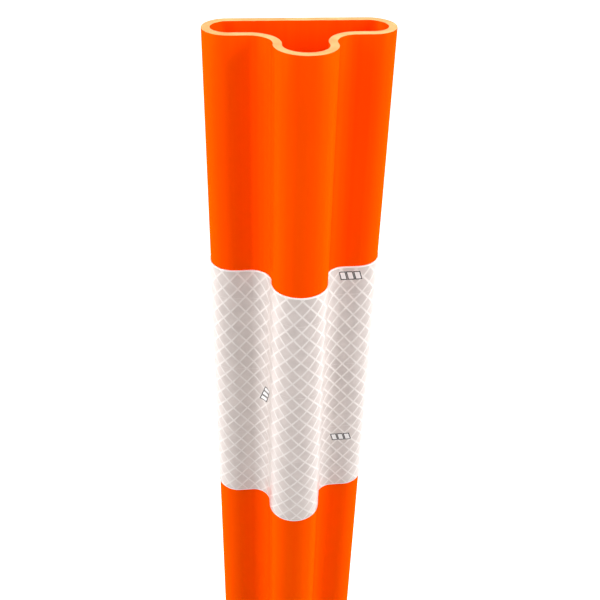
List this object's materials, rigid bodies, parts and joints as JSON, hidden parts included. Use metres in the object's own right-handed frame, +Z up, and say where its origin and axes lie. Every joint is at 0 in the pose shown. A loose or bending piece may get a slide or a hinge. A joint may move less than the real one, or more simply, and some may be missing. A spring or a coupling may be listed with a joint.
{
  "type": "delineator post",
  "caption": "Hollow orange road delineator post with white reflective bands, on a sprung hinge that lets it fold flat and stand up again, bolted to a heavy rubber base.",
  "frame": {"origin": "centre of the rubber base's underside, on the ground", "axes": "+Z up along the post, +Y towards the post's flat back, -Y towards its round front rib, X along the hinge axis and across the post's width"},
  "size_m": [0.4, 0.4, 1.07],
  "materials": {
    "orange_plastic": "satin",
    "white_reflective_sheeting": "glossy film over a prismatic lattice",
    "black_rubber": "matte, moulded",
    "black_plastic": "matte",
    "nylon": "satin",
    "galvanised_steel": "dull hot-dip zinc",
    "zinc_plated_steel": "bright zinc",
    "spring_steel": "black phosphate"
  },
  "bodies": {
    "base": {"rubber_base": "black_rubber", "backing_plate": "galvanised_steel", "hinge_bracket": "galvanised_steel", "bracket_bolts": "zinc_plated_steel", "bracket_washers": "zinc_plated_steel", "bracket_nuts": "zinc_plated_steel", "hinge_bolt": "zinc_plated_steel", "hinge_bolt_washers": "zinc_plated_steel", "hinge_bolt_nut": "zinc_plated_steel", "torsion_spring_left": "spring_steel", "torsion_spring_right": "spring_steel"},
    "post": {"hinge_knuckle": "galvanised_steel", "sleeve_bush_left": "nylon", "sleeve_bush_right": "nylon", "core_insert": "black_plastic", "post_profile": "orange_plastic", "post_screws": "zinc_plated_steel", "post_screw_washers": "zinc_plated_steel", "upper_reflective_band": "white_reflective_sheeting", "lower_reflective_band": "white_reflective_sheeting"}
  },
  "joints": [
    {"name": "fold", "type": "hinge", "parent": "base", "child": "post", "pos_m": [0, 0, 0.096], "axis": [1, 0, 0], "range_deg": [-90, 90], "stiffness_Nm_per_rad": 60, "deforming": ["torsion_spring_left", "torsion_spring_right"]}
  ]
}
